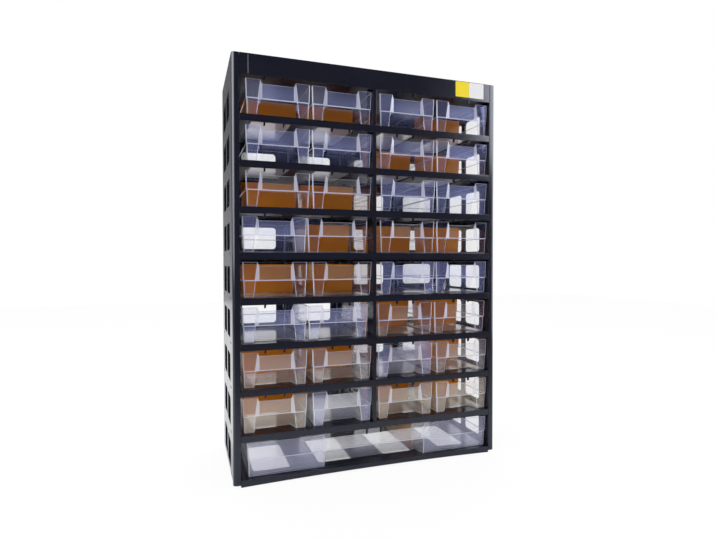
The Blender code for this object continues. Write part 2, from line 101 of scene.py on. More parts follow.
# sizes of the moulded carcass
carcass = {
    "rowPitch": 59.1 * mm,
    "rowOpening": 50.1 * mm,
    "bottomOpening": 48.4 * mm,
    "railHeight": 9.0 * mm,
    "railThickness": 3.5 * mm,
    "stileWidth": 9.5 * mm,
    "stileDepth": 8.0 * mm,
    "stileRound": 4.5 * mm,
    "stileArcSteps": 10,
    "sideWall": 3.0 * mm,
    "rearLip": (4.0 * mm, 2.0 * mm),
    "shelfPlate": 2.5 * mm,
    "uprightWidth": 5.0 * mm,
    "uprightSetback": 1.0 * mm,
    "uprightFront": 25.0 * mm,
    "uprightRear": 20.0 * mm,
    "fasciaHeight": 26.6 * mm,
    "baseArch": 2.8 * mm,
    "archDepth": 14.0 * mm,
    "archSteps": 40,
    "wallFoot": 5.8 * mm,
    "topPlate": 3.0 * mm,
    "topRib": 4.0 * mm,
    "fitGap": 0.3 * mm,
    "edgeRound": 0.7 * mm,
    "sideEdgeRound": 0.5 * mm,
    "edgeSteps": 2,
}

# thin bead on the fascia; its section is in shares of width and height
fasciaBead = {
    "place": -173.0 * mm,
    "width": 1.3 * mm,
    "height": 0.35 * mm,
    "bottomGap": 1.0 * mm,
    "topGap": 2.0 * mm,
    "section": ((-0.5, -1), (0.5, -1), (0.5, 0.3), (0.2, 1), (-0.2, 1), (-0.5, 0.3)),
}

shading = {
    "bevelAngle": math.radians(40),
    "panelSharp": math.radians(32),
    "traySharp": math.radians(40),
    "flatWeight": 100,
}

openings = {
    "post": 37.2 * mm,
    "round": 5.0 * mm,
    "roundSteps": 5,
    "backSill": 8.4 * mm,
    "backDrop": 7.6 * mm,
    "sideSill": 4.0 * mm,
    "sideDrop": 9.0 * mm,
    "sideFront": 37.0 * mm,
    "sideBar": 10.4 * mm,
    "sideRear": 24.4 * mm,
    "floorFront": 25.0 * mm,
    "floorRear": 19.0 * mm,
}

tongue = {
    "thickness": 1.4 * mm,
    "length": 14.0 * mm,
    "root": 2.0 * mm,
    "front": 22.0 * mm,
    "rear": 6.0 * mm,
}

tabs = {
    "width": 4.0 * mm,
    "tipShare": 0.45,
    "tipShift": -1.1 * mm,
    "thickness": 2.5 * mm,
    "setback": 2.0 * mm,
    "spacing": 25.0 * mm,
    "bottomSpacing": 21.0 * mm,
    "catch": 1.0 * mm,
    "bottomCatch": 4.2 * mm,
}

# one clear tray; each triple is bottom, step and top
smallTray = {
    "pillar": (12.5 * mm, 15.5 * mm, 19.5 * mm),
    "recess": (16.5 * mm, 0.8 * mm, 0.8 * mm),
    "slant": (5.0 * mm, 5.5 * mm, 2.2 * mm),
    "wall": 1.4 * mm,
    "floor": 1.6 * mm,
    "lean": 0.7 * mm,
    "step": 22.8 * mm,
    "stepRise": 0.9 * mm,
    "stepWidth": 0.7 * mm,
    "topDrop": 5.0 * mm,
    "cornerRound": 1.3 * mm,
    "edgeRound": 0.7 * mm,
    "rearRound": 2.1 * mm,
    "footRound": 1.2 * mm,
    "footBend": (0.3, 0.4),  # of that, up and in
    "floorRing": 1.0 * mm,  # a ring in the plane of the floor keeps its shading flat
    "rimRound": (0.2 * mm, 0.25 * mm),  # sideways and down
    "arcSteps": 4,
    "facetDrop": (0.85, 0.25),  # of topDrop, at the panel's end of a slanted facet and at the other
    "glint": 0.35 * mm,  # width over which a painted edge highlight fades out
    "rimGlint": 0.49 * mm,
    # the shines below are painted highlights that whiten rounded corners, foot, step, rim and facets
    "cornerShine": (0.85, 0.9, 0.75, 0.75, 0.9, 0.85, 0.5, 0.5),
    "footShine": (0.45, 0.55, 0.45),
    "insideFootShine": 0.1,
    "stepShine": 0.9,
    "rimShine": 0.8,
    "facetShine": 0.8,
    "insideShine": 0.08,
    "frost": 1.0,  # of the panel above the finger recess
    "frostEnds": (1.2, 0.8),  # of that, at the step and at the rim
    "blue": 1.0,  # of the blue tint; where it is off, the tray is painted warm, in the orange plate's light
    "veil": 1.0,  # of the pillars
    "lowVeil": 0.6,  # of the finger recess
    "floorVeil": 0.25,  # of the floor, seen from above
    "paintedUnderLight": 1.0,  # painted light on the floor's underside, seen from below
}
# divided trays are the same plastic; their weaker veil and frost are painted shade where the plate blocks
# the light behind, and their warm white is painted light from the plate
highDividedTray = dict(smallTray, veil=0.5, lowVeil=0.03)
dividedTray = dict(smallTray, frost=0.28, blue=0.0, veil=0.1, lowVeil=0.03)
widePillar = (102.0 * mm, 102.5 * mm, 103.0 * mm)
wideTray = dict(smallTray, pillar=widePillar, veil=0.9, floorVeil=0.0, paintedUnderLight=0.35)
trayTraits = ("edge", "frost", "veil", "low", "floor", "blue")  # what the mesh tells the material

divider = {
    "thickness": 1.6 * mm,
    "back": 79.0 * mm,
    "topDrop": 3.0 * mm,
    "edgeRound": 0.4 * mm,
    "drawn": {6: (3, 4), 7: (1, 2, 4), 8: (1, 3, 4)},  # rows past the CAD's node limit
}

label = {
    "right": 10.5 * mm,
    "yellow": 22.9 * mm,
    "white": 24.4 * mm,
    "height": 22.4 * mm,
    "drop": 0.7 * mm,
    "thickness": 0.2 * mm,
    "round": 1.2 * mm,
    "roundSteps": 4,
    "edgeRound": 0.05 * mm,
    "seam": 0.05 * mm,
    "behind": 0.02 * mm,
}

# looks, with colours as red, green, blue, alpha and noise scales per metre
blackLook = {
    "tones": ((0.0080, 0.0086, 0.0155, 1), (0.0115, 0.0122, 0.0215, 1)),
    "shine": (0.84, 0.88, 1.0, 1),
    "cloudScale": 28.0,
    "grainScale": 1900.0,
    "roughness": 0.10,
    "cloudRough": 0.08,
    "grainRough": 0.03,
    "underRough": 0.3,  # less polished below
    "bump": (0.1, 0.2 * mm),
}

clearLook = {
    "rippleScale": 45.0,
    "sheenBlotchScale": 24.0,
    "headOn": 0.04,  # gloss of a face seen head on
    "paintedLowRowLight": (232.0 * mm, 90.0 * mm),  # heights between which the trays are painted milkier and paler, standing in for light from the white floor in the lower rows
    "frostAndPaintedSheen": 0.11,
    "lowFrostAndPaintedSheen": 0.07,
    "sheenBlotch": (0.3, 1.4),  # least of the frost and painted sheen, and what the noise adds in blotches
    "veil": (0.06, 0.08),  # least of a veil, and what the ripple adds
    "rowLight": 0.015,  # painted light in the lower rows: everywhere, below the step, and above it in divided trays
    "rowLightLow": 0.06,
    "rowLightHigh": 0.08,
    "leastMilk": 0.002,
    "paintedEdgeHighlight": 0.74,
    "floorMilkAndLight": 0.45,
    "mostMilk": 0.9,
    "grazing": (0.05, 0.2),  # gloss over which the blue tint turns white
    "paleFrost": (3.0, 0.8),  # gain and limit
    "veilTint": 0.6,
    "orangeLitWhite": (0.97, 0.93, 0.84, 1),
    "coolWhite": (0.92, 0.92, 0.97, 1),
    "tint": (0.42, 0.47, 0.92, 1),
    "edgeHighlightTint": (0.70, 0.70, 0.80, 1),
    "roughness": 0.06,
    "frostRough": 0.2,
    "edgeRough": 0.15,
    "lowRough": 0.12,
    "floorRough": 0.1,
    "bump": (0.03, 0.3 * mm),
}

orangeLook = {
    "tones": ((0.60, 0.205, 0.0, 1), (0.72, 0.268, 0.0, 1)),
    "pale": (0.80, 0.56, 0.36, 1),  # of the bottom plate, stronger at its lower front end: painted haze standing in for light scattered by the milky tray wall in front
    "paleSlope": 0.3,
    "paleEnds": (0.0, 14.0 * mm),
    "cloudScale": 22.0,
    "grainScale": 900.0,
    "roughness": 0.30,
    "cloudRough": 0.15,
    "specular": 0.2,
    "glow": 0.7,
    "glowRadius": (1.0, 0.4, 0.04),
    "glowScale": 3.0 * mm,
    "bump": (0.08, 0.2 * mm),
}

paperLook = {
    "yellow": ((0.82, 0.63, 0.003, 1), (0.88, 0.70, 0.003, 1)),
    "white": ((0.74, 0.74, 0.77, 1), (0.84, 0.84, 0.86, 1)),
    "fibreScale": 650.0,
    "roughness": 0.38,
    "fibreRough": 0.2,
    "specular": 0.2,
    "bump": (0.1, 0.1 * mm),
}

boxLow, boxHigh = (Vector(corner) for corner in cadBounds)
halfWidth = boxHigh.x
frontY = boxLow.y
rearY = boxHigh.y
topZ = boxHigh.z
stileInner = halfWidth - carcass["stileWidth"]
wallInner = halfWidth - carcass["sideWall"]
bayWidth = stileInner - carcass["uprightWidth"] / 2
columnPitch = bayWidth / 2
backLow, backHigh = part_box("back_panel")
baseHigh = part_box("base_panel")[1][2]
shelfRear = backLow[1] - carcass["fitGap"]
windowWidth = columnPitch - openings["post"]


def shelfTop(row):
    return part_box(f"drawer_r{row}_c1")[0][2] - carcass["fitGap"]


def ceilingLow():
    return shelfTop(1) + carcass["rowPitch"] - carcass["shelfPlate"]


def columnCentre(column):
    shift = carcass["uprightWidth"] if column > 2 else 0.0
    return -stileInner + (column - 0.5) * columnPitch + shift


# shader maths

class Wire:
    def __init__(self, graph, socket):
        self.graph = graph
        self.socket = socket

    def maths(self, operation, first, second):
        return self.graph.node("ShaderNodeMath", {"operation": operation}, {0: first, 1: second})

    def __add__(self, other):
        return self.maths("ADD", self, other)

    def __radd__(self, other):
        return self.maths("ADD", other, self)

    def __sub__(self, other):
        return self.maths("SUBTRACT", self, other)

    def __rsub__(self, other):
        return self.maths("SUBTRACT", other, self)

    def __mul__(self, other):
        return self.maths("MULTIPLY", self, other)

    def __rmul__(self, other):
        return self.maths("MULTIPLY", other, self)

    def __truediv__(self, other):
        return self.maths("DIVIDE", self, other)

    def __pow__(self, other):
        return self.maths("POWER", self, other)

    def below(self, other):
        return self.maths("LESS_THAN", self, other)

    def largest(self, other):
        return self.maths("MAXIMUM", self, other)

    def smallest(self, other):
        return self.maths("MINIMUM", self, other)


class Graph:
    def __init__(self, tree):
        self.tree = tree
        tree.nodes.clear()

    def node(self, kind, settings=None, sockets=None, output=0):
        made = self.tree.nodes.new(kind)
        for key, value in (settings or {}).items():
            setattr(made, key, value)
        for key, value in (sockets or {}).items():
            if isinstance(value, Wire):
                self.tree.links.new(value.socket, made.inputs[key])
            else:
                made.inputs[key].default_value = value
        return Wire(self, made.outputs[output]) if made.outputs else None

    def objectPlace(self):
        return self.node("ShaderNodeTexCoord", output="Object")

    def axis(self, vector, name):
        return self.node("ShaderNodeSeparateXYZ", None, {0: vector}, name)

    def joinAxes(self, x, y, z):
        return self.node("ShaderNodeCombineXYZ", None, {0: x, 1: y, 2: z})

    def ramp(self, value, ends, low=0.0, high=1.0):
        return self.node("ShaderNodeMapRange", None, {0: value, 1: ends[0], 2: ends[1], 3: low, 4: high})

    def ray(self, kind):
        return self.node("ShaderNodeLightPath", None, None, kind)

    def noise(self, scale, detail=2.0):
        sockets = {"Vector": self.objectPlace(), "Scale": scale, "Detail": detail}
        return self.node("ShaderNodeTexNoise", None, sockets, "Fac")

    def mixColour(self, share, first, second):
        sockets = {0: share, 6: first, 7: second}
        return self.node("ShaderNodeMix", {"data_type": "RGBA"}, sockets, 2)

    def bump(self, height, strength, distance):
        sockets = {"Height": height, "Strength": strength, "Distance": distance}
        return self.node("ShaderNodeBump", None, sockets)

    def attribute(self, name):
        return self.node("ShaderNodeAttribute", {"attribute_name": name}, None, "Fac")

    def surface(self, sockets):
        shader = self.node("ShaderNodeBsdfPrincipled", None, sockets)
        self.node("ShaderNodeOutputMaterial", None, {"Surface": shader})


def newMaterial(name):
    material = bpy.data.materials.new(name)
    material.use_nodes = True
    return material, Graph(material.node_tree)


def makeBlackPlastic():
    look = blackLook
    material, graph = newMaterial("blackMoulding")
    cloud = graph.noise(look["cloudScale"], 3.0)
    grain = graph.noise(look["grainScale"])
    normal = graph.node("ShaderNodeNewGeometry", None, None, "Normal")
    under = (0 - graph.axis(normal, "Z")).largest(0)
    rough = look["roughness"] + cloud * look["cloudRough"] + grain * look["grainRough"]
    graph.surface({
        "Base Color": graph.mixColour(cloud, *look["tones"]),
        "Roughness": rough + under * look["underRough"],
        "Specular Tint": look["shine"],
        "Normal": graph.bump(grain, *look["bump"]),
    })
    return material


def makeClearPlastic():
    look = clearLook
    material, graph = newMaterial("clearTray")
    # edge marks the painted highlights on the trays' bright edges
    edge, frost, veil, low, floor, blue = (graph.attribute(name) for name in trayTraits)
    ripple = graph.noise(look["rippleScale"], 2.0)
    sheenBlotch = graph.noise(look["sheenBlotchScale"], 1.0)
    facing = graph.node("ShaderNodeLayerWeight", None, {"Blend": 0.5}, "Facing")
    # the same from inside a wall as from outside
    gloss = look["headOn"] + (1 - look["headOn"]) * facing ** 5
    # painted light: the lower rows get more milk, a paler tint and more roughness
    paintedLowRowLight = graph.ramp(graph.axis(graph.objectPlace(), "Z"), look["paintedLowRowLight"])
    # the panel above the finger recess is whitened partly as frosted plastic and partly as a painted sheen
    # in blotches
    frostAndPaintedSheen = frost * (look["frostAndPaintedSheen"] + paintedLowRowLight * look["lowFrostAndPaintedSheen"])
    frostAndPaintedSheen = frostAndPaintedSheen * (look["sheenBlotch"][0] + sheenBlotch * look["sheenBlotch"][1])
    rowLight = look["rowLight"] + low * look["rowLightLow"] + (1 - low) * (1 - blue) * look["rowLightHigh"]
    milk = look["leastMilk"] + veil * (look["veil"][0] + ripple * look["veil"][1])
    milk = milk + paintedLowRowLight * rowLight + frostAndPaintedSheen + edge * look["paintedEdgeHighlight"] + floor * look["floorMilkAndLight"]
    milk = milk.smallest(look["mostMilk"])
    cover = 1 - (1 - milk) * (1 - gloss)
    gain, limit = look["paleFrost"]
    pale = graph.ramp(gloss, look["grazing"])
    pale = pale.largest((1 - blue) * (frost * gain).smallest(limit))
    pale = pale.largest(paintedLowRowLight * (1 - veil * look["veilTint"])).largest(floor)
    # the warm white of divided trays is painted orange light
    white = graph.mixColour(blue, look["orangeLitWhite"], look["coolWhite"])
    tint = graph.mixColour(pale, look["tint"], white)
    rough = look["roughness"] + frost * look["frostRough"] + edge * look["edgeRough"]
    graph.surface({
        "Base Color": graph.mixColour(edge, tint, look["edgeHighlightTint"]),
        "Metallic": gloss * (1 - milk) / cover,
        "Roughness": rough + paintedLowRowLight * look["lowRough"] + floor * look["floorRough"],
        "Alpha": cover,
        "Normal": graph.bump(ripple, *look["bump"]),
    })
    return material


def makeOrangePlastic(name, pale=None):
    look = orangeLook
    material, graph = newMaterial(name)
    cloud = graph.noise(look["cloudScale"], 3.0)
    tone = graph.mixColour(cloud, *look["tones"])
    if pale:
        y, z = (graph.axis(graph.objectPlace(), axis) for axis in "YZ")
        tone = graph.mixColour(graph.ramp(z + y * look["paleSlope"], look["paleEnds"]), tone, pale)
    graph.surface({
        "Base Color": tone,
        "Roughness": look["roughness"] + cloud * look["cloudRough"],
        "Specular IOR Level": look["specular"],
        "Subsurface Weight": look["glow"],
        "Subsurface Radius": look["glowRadius"],
        "Subsurface Scale": look["glowScale"],
        "Normal": graph.bump(graph.noise(look["grainScale"]), *look["bump"]),
    })
    return material


def makePaper(name, tones):
    look = paperLook
    material, graph = newMaterial(name)
    fibre = graph.noise(look["fibreScale"], 4.0)
    graph.surface({
        "Base Color": graph.mixColour(fibre, *tones),
        "Roughness": look["roughness"] + fibre * look["fibreRough"],
        "Specular IOR Level": look["specular"],
        "Normal": graph.bump(fibre, *look["bump"]),
    })
    return material


blackPlastic = makeBlackPlastic()
clearPlastic = makeClearPlastic()
orangePlastic = makeOrangePlastic("orangeDivider")
# the bottom plate is painted paler, standing in for the milky tray wall's light over it
paleOrangePlastic = makeOrangePlastic("paleOrangeDivider", orangeLook["pale"])
yellowPaper = makePaper("yellowPaper", paperLook["yellow"])
whitePaper = makePaper("whitePaper", paperLook["white"])
print("materials made")


# mesh helpers

def rectangle(low, high):
    return [(low[0], low[1]), (high[0], low[1]), (high[0], high[1]), (low[0], high[1])]


def roundedRectangle(low, high, radius, steps):
    left, right = low[0] + radius, high[0] - radius
    bottom, top = low[1] + radius, high[1] - radius
    points = []
    for quarter, (x, y) in enumerate(((right, top), (left, top), (left, bottom), (right, bottom))):
        for step in range(steps + 1):
            angle = (quarter + step / steps) * math.pi / 2
            points.append((x + radius * math.cos(angle), y + radius * math.sin(angle)))
    return points


def window(low, high):
    return roundedRectangle(low, high, openings["round"], openings["roundSteps"])


def addPrism(bm, outline, axis, low, high):
    rest = [other for other in range(3) if other != axis]
    rings = []
    for level in (low, high):
        ring = []
        for point in outline:
            place = [0.0, 0.0, 0.0]
            place[axis] = level
            place[rest[0]], place[rest[1]] = point
            ring.append(bm.verts.new(place))
        rings.append(ring)
    faces = [bm.faces.new(ring) for ring in rings]
    count = len(outline)
    for i in range(count):
        j = (i + 1) % count
        faces.append(bm.faces.new((rings[0][i], rings[0][j], rings[1][j], rings[1][i])))
    bmesh.ops.recalc_face_normals(bm, faces=faces)


def meshOf(name, prisms):
    bm = bmesh.new()
    for outline, axis, low, high in prisms:
        addPrism(bm, outline, axis, low, high)
    mesh = bpy.data.meshes.new(name)
    bm.to_mesh(mesh)
    bm.free()
    return mesh


def linkedObject(name, data):
    obj = bpy.data.objects.new(name, data)
    bpy.context.scene.collection.objects.link(obj)
    return obj


def evaluatedMesh(obj):
    graph = bpy.context.evaluated_depsgraph_get()
    return bpy.data.meshes.new_from_object(obj.evaluated_get(graph))


def carve(name, body, joined, cut, edgeRound=carcass["edgeRound"]):
    work = linkedObject(name, meshOf(name, body[:1]))
    tools = [("UNION", [prism]) for prism in body[1:]] + [("UNION", joined), ("DIFFERENCE", cut)]
    helpers = []
    for operation, prisms in tools:
        if prisms:
            helper = linkedObject(name + "Tool", meshOf(name + "Tool", prisms))
            modifier = work.modifiers.new(operation, "BOOLEAN")
            modifier.operation = operation
            modifier.solver = "EXACT"
            modifier.object = helper
            helpers.append(helper)
    softened = work.modifiers.new("softEdges", "BEVEL")
    softened.width = edgeRound
    softened.segments = carcass["edgeSteps"]
    softened.limit_method = "ANGLE"
    softened.angle_limit = shading["bevelAngle"]
    softened.use_clamp_overlap = True
    mesh = evaluatedMesh(work)
    for obj in helpers + [work]:
        bpy.data.objects.remove(obj)
    mesh.shade_smooth()
    mesh.set_sharp_from_angle(angle=shading["panelSharp"])
    work = linkedObject(name, mesh)
    weighted = work.modifiers.new("flatFaces", "WEIGHTED_NORMAL")
    weighted.weight = shading["flatWeight"]
    weighted.keep_sharp = True
    smoothed = evaluatedMesh(work)
    bpy.data.objects.remove(work)
    bpy.data.meshes.remove(mesh)
    smoothed.name = name
    return smoothed


def finishPiece(name, mesh, material, body, nodes=()):
    obj = linkedObject(name, mesh)
    if not mesh.materials:
        mesh.materials.append(material)
    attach(obj, body)
    if nodes:
        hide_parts(*nodes)


def movedCopy(mesh, place, name):
    copy = mesh.copy()
    copy.name = name
    copy.transform(Matrix.Translation(place))
    return copy


# carcass

def plateOutline(rear):
    frontX = stileInner - carcass["fitGap"]
    rearX = wallInner - carcass["fitGap"]
    shoulder = frontY + carcass["stileDepth"] + carcass["fitGap"]
    right = [(frontX, frontY), (frontX, shoulder), (rearX, shoulder), (rearX, rear)]
    return right + [(-x, y) for x, y in reversed(right)]


def tongueSpans():
    front = frontY + tongue["front"]
    rear = shelfRear - tongue["rear"]
    return ((front, front + tongue["length"]), (rear - tongue["length"], rear))


def tongues(height):
    inner = wallInner - carcass["fitGap"] - tongue["root"]
    outer = halfWidth - carcass["fitGap"]
    span = (height - tongue["thickness"] / 2, height + tongue["thickness"] / 2)
    prisms = []
    for start, end in tongueSpans():
        prisms.append((rectangle((inner, start), (outer, end)), 2, *span))
        prisms.append((rectangle((-outer, start), (-inner, end)), 2, *span))
    return prisms


def floorWindows(low, high):
    front = frontY + openings["floorFront"]
    rear = shelfRear - openings["floorRear"]
    prisms = []
    for column in range(1, 5):
        x = columnCentre(column)
        prisms.append((window((x - windowWidth / 2, front), (x + windowWidth / 2, rear)), 2, low, high))
    return prisms


def uprightPosts():
    low = -carcass["shelfPlate"] / 2
    high = carcass["rowPitch"] - carcass["shelfPlate"] - carcass["fitGap"]
    underRail = carcass["rowOpening"] - carcass["fitGap"]
    front = frontY + carcass["uprightSetback"]
    behindRail = frontY + carcass["railThickness"] + carcass["fitGap"]
    depth = frontY + carcass["uprightFront"]
    frontPost = [(front, low), (depth, low), (depth, high)]
    frontPost += [(behindRail, high), (behindRail, underRail), (front, underRail)]
    return (frontPost, rectangle((shelfRear - carcass["uprightRear"], low), (shelfRear, high)))


def makeShelves():
    frontX = stileInner - carcass["fitGap"]
    rail = rectangle((-frontX, frontY), (frontX, frontY + carcass["railThickness"]))
    body = [
        (plateOutline(shelfRear), 2, -carcass["shelfPlate"], 0.0),
        (rail, 2, -carcass["railHeight"], 0.0),
    ]
    half = carcass["uprightWidth"] / 2
    joined = [(post, 0, -half, half) for post in uprightPosts()] + tongues(-carcass["shelfPlate"] / 2)
    cut = floorWindows(-carcass["railHeight"], carcass["railHeight"])
    mesh = carve("shelf", body, joined, cut)
    for row in range(1, 9):
        name = f"shelf_moulding_{row}"
        copy = movedCopy(mesh, (0, 0, shelfTop(row)), name)
        finishPiece(name, copy, blackPlastic, "cabinet", [f"shelf_{row}"])
    bpy.data.meshes.remove(mesh)


def rowSpans():
    spans = [(shelfTop(row), carcass["rowOpening"]) for row in range(1, 9)]
    return spans + [(baseHigh, carcass["bottomOpening"])]


def makeSide(side, node):
    lipWidth, lipThickness = carcass["rearLip"]
    section = [
        (stileInner, frontY),
        (stileInner, frontY + carcass["stileDepth"]),
        (wallInner, frontY + carcass["stileDepth"]),
        (wallInner, rearY - lipThickness),
        (wallInner - lipWidth, rearY - lipThickness),
        (wallInner - lipWidth, rearY),
        (halfWidth, rearY),
    ]
    radius = carcass["stileRound"]
    for step in range(carcass["stileArcSteps"] + 1):
        angle = step / carcass["stileArcSteps"] * math.pi / 2
        x = halfWidth - radius + radius * math.cos(angle)
        section.append((x, frontY + radius - radius * math.sin(angle)))
    section = [(side * x, y) for x, y in section]
    reach = sorted((side * (wallInner - carcass["sideWall"]), side * (halfWidth + carcass["sideWall"])))
    start = frontY + openings["sideFront"]
    end = rearY - openings["sideRear"]
    middle = (start + end) / 2
    halfBar = openings["sideBar"] / 2
    cut = []
    for floor, opening in rowSpans():
        low = floor + openings["sideSill"]
        high = floor + opening - openings["sideDrop"]
        for near, far in ((start, middle - halfBar), (middle + halfBar, end)):
            cut.append((window((near, low), (far, high)), 0, *reach))
    levels = [floor - carcass["shelfPlate"] / 2 for floor, opening in rowSpans()]
    levels.append(topZ - carcass["topPlate"] / 2)
    gap = carcass["fitGap"]
    slot = tongue["thickness"] / 2 + gap
    for level in levels:
        for near, far in tongueSpans():
            cut.append((rectangle((near - gap, level - slot), (far + gap, level + slot)), 0, *reach))
    low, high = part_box(node)
    foot = (frontY + carcass["stileDepth"], low[2] - overcut)
    cut.append((rectangle(foot, (rearY + overcut, carcass["wallFoot"])), 0, *reach))
    body = [(section, 2, low[2], high[2])]
    mesh = carve(node + "_moulding", body, [], cut, carcass["sideEdgeRound"])
    finishPiece(node + "_moulding", mesh, blackPlastic, "cabinet", [node])


def makeBack():
    sheet = rectangle((backLow[0], backLow[2]), (backHigh[0], backHigh[2]))
    cut = []
    for floor, opening in rowSpans():
        for column in range(1, 5):
            x = columnCentre(column)
            low = (x - windowWidth / 2, floor + openings["backSill"])
            high = (x + windowWidth / 2, floor + opening - openings["backDrop"])
            cut.append((window(low, high), 1, backLow[1] - overcut, backHigh[1] + overcut))
    mesh = carve("back_moulding", [(sheet, 1, backLow[1], backHigh[1])], [], cut)
    finishPiece("back_moulding", mesh, blackPlastic, "cabinet", ["back_panel"])


def makeBase():
    low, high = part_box("base_panel")
    body = [(plateOutline(high[1]), 2, low[2], high[2])]
    cut = floorWindows(low[2] - overcut, high[2] + overcut)
    half = stileInner - carcass["fitGap"]
    steps = carcass["archSteps"]
    shares = [(2 * i - steps) / (steps + 1) for i in range(steps + 1)]
    arch = [(half * share, low[2] + carcass["baseArch"] * (1 - share ** 2)) for share in shares]
    arch = [(arch[-1][0], low[2] - overcut), (arch[0][0], low[2] - overcut)] + arch
    cut.append((arch, 1, frontY - overcut, frontY + carcass["archDepth"]))
    mesh = carve("base_moulding", body, tongues(high[2] - carcass["shelfPlate"] / 2), cut)
    finishPiece("base_moulding", mesh, blackPlastic, "cabinet", ["base_panel"])


def makeTop():
    inside = topZ - carcass["topPlate"] / 2
    ribLow = ceilingLow()
    frontX = stileInner - carcass["fitGap"]
    fascia = rectangle((-frontX, frontY), (frontX, frontY + carcass["railThickness"]))
    fasciaLow = topZ - carcass["fasciaHeight"]
    ribFront = frontY + tabs["setback"]
    ribRear = ribFront + tabs["thickness"]
    half = carcass["topRib"] / 2
    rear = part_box("top_panel")[1][1]
    body = [
        (plateOutline(rear), 2, topZ - carcass["topPlate"], topZ),
        (fascia, 2, fasciaLow, topZ),
        (plateOutline(shelfRear), 2, ribLow, ribLow + carcass["shelfPlate"]),
    ]
    middleRib = rectangle((-half, ribRear + carcass["fitGap"]), (half, shelfRear - carcass["fitGap"]))
    wide, proud = fasciaBead["width"], fasciaBead["height"]
    bead = [(fasciaBead["place"] + wide * x, frontY - proud * y) for x, y in fasciaBead["section"]]
    joined = [
        (bead, 2, fasciaLow + fasciaBead["bottomGap"], topZ - fasciaBead["topGap"]),
        (rectangle((-frontX, ribFront), (frontX, ribRear)), 2, ribLow, inside),
        (middleRib, 2, ribLow, inside),
    ]
    mesh = carve("top_moulding", body, joined + tongues(inside), [])
    finishPiece("top_moulding", mesh, blackPlastic, "cabinet", ["top_panel"])


# stop tabs, set on points by geometry nodes

def tabTree():
    tree = bpy.data.node_groups.new("stopTabs", "GeometryNodeTree")
    numbers = ("width", "thickness", "height", "tipShare", "tipShift")
    kinds = {"Geometry": "Geometry", **{name: "Float" for name in numbers}, "material": "Material"}
    for name, kind in kinds.items():
        tree.interface.new_socket(name, in_out="INPUT", socket_type="NodeSocket" + kind)
    tree.interface.new_socket("Geometry", in_out="OUTPUT", socket_type="NodeSocketGeometry")
    graph = Graph(tree)
    given = {name: graph.node("NodeGroupInput", None, None, name) for name in kinds}
    size = graph.joinAxes(given["width"], given["thickness"], given["height"])
    cube = graph.node("GeometryNodeMeshCube", None, {"Size": size}, "Mesh")
    x, y, z = (graph.axis(graph.node("GeometryNodeInputPosition"), axis) for axis in "XYZ")
    tip = x * given["tipShare"] + given["tipShift"]
    ends = {"Switch": z.below(0.0), "False": x, "True": tip}
    tapered = graph.node("GeometryNodeSwitch", {"input_type": "FLOAT"}, ends)
    hung = graph.joinAxes(tapered, y, z - given["height"] * 0.5)
    tab = graph.node("GeometryNodeSetPosition", None, {"Geometry": cube, "Position": hung})
    points = {"Points": given["Geometry"], "Instance": tab}
    copies = graph.node("GeometryNodeInstanceOnPoints", None, points)
    real = graph.node("GeometryNodeRealizeInstances", None, {0: copies})
    paint = {"Geometry": real, "Material": given["material"]}
    graph.node("NodeGroupOutput", None, {0: graph.node("GeometryNodeSetMaterial", None, paint)})
    return tree


def makeTabs(tree, name, centres, top, height):
    y = frontY + tabs["setback"] + tabs["thickness"] / 2
    points = bpy.data.meshes.new(name)
    points.from_pydata([(x, y, top) for x in centres], [], [])
    obj = linkedObject(name + "Points", points)
    modifier = obj.modifiers.new("stopTabs", "NODES")
    modifier.node_group = tree
    values = dict(tabs, height=height, material=blackPlastic)
    for item in tree.interface.items_tree:
        if item.in_out == "INPUT" and item.name in values:
            modifier[item.identifier] = values[item.name]
    mesh = evaluatedMesh(obj)
    bpy.data.objects.remove(obj)
    finishPiece(name, mesh, blackPlastic, "cabinet")


def makeAllTabs():
    tree = tabTree()
    half = tabs["spacing"] / 2
    each = [columnCentre(column) + side * half for column in range(1, 5) for side in (-1, 1)]
    pair = [side * tabs["bottomSpacing"] / 2 for side in (-1, 1)]
    for row in range(1, 9):
        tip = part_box(f"drawer_r{row}_c1")[1][2] - tabs["catch"]
        top = ceilingLow() if row == 1 else shelfTop(row - 1) - carcass["shelfPlate"]
        makeTabs(tree, f"stop_tabs_{row}", each, top, top - tip)
    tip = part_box("bottom_drawer")[1][2] - tabs["bottomCatch"]
    top = shelfTop(8) - carcass["shelfPlate"]
    makeTabs(tree, "stop_tabs_bottom", pair, top, top - tip)


makeSide(-1, "side_panel_left")
makeSide(1, "side_panel_right")
makeBack()
makeBase()
makeTop()
makeShelves()
makeAllTabs()
print("carcass made")


# clear trays

def lerp(a, b, share):
    return a + (b - a) * share


def trayLevel(tray, height, z):
    under = tray["step"] - tray["stepRise"]
    insets = (tray["lean"] * 2 + tray["stepWidth"], tray["lean"] + tray["stepWidth"], tray["lean"], 0.0)
    if z <= under:
        share = z / under
        inset = lerp(insets[0], insets[1], share)
        values = [lerp(tray[key][0], tray[key][1], share) for key in ("pillar", "recess", "slant")]
    elif z < tray["step"]:
        inset = lerp(insets[1], insets[2], (z - under) / tray["stepRise"])
        values = [tray[key][1] for key in ("pillar", "recess", "slant")]
    else:
        share = (z - tray["step"]) / (height - tray["step"])
        inset = lerp(insets[2], insets[3], share)
        values = [lerp(tray[key][1], tray[key][2], share) for key in ("pillar", "recess", "slant")]
    return (inset, *values)


def trayCorners(tray, width, length, height, z, extra=0.0):
    inset, pillar, recess, slant = trayLevel(tray, height, z)
    half = width / 2 - inset - extra
    edge = width / 2 - inset - pillar
    front = inset + extra
    rear = length - inset - extra
    right = [(edge - slant, front + recess), (edge, front), (half, front), (half, rear)]
    left = [(-x, y) for x, y in reversed(right)]
    return [Vector(point) for point in left[1:] + right + left[:1]]


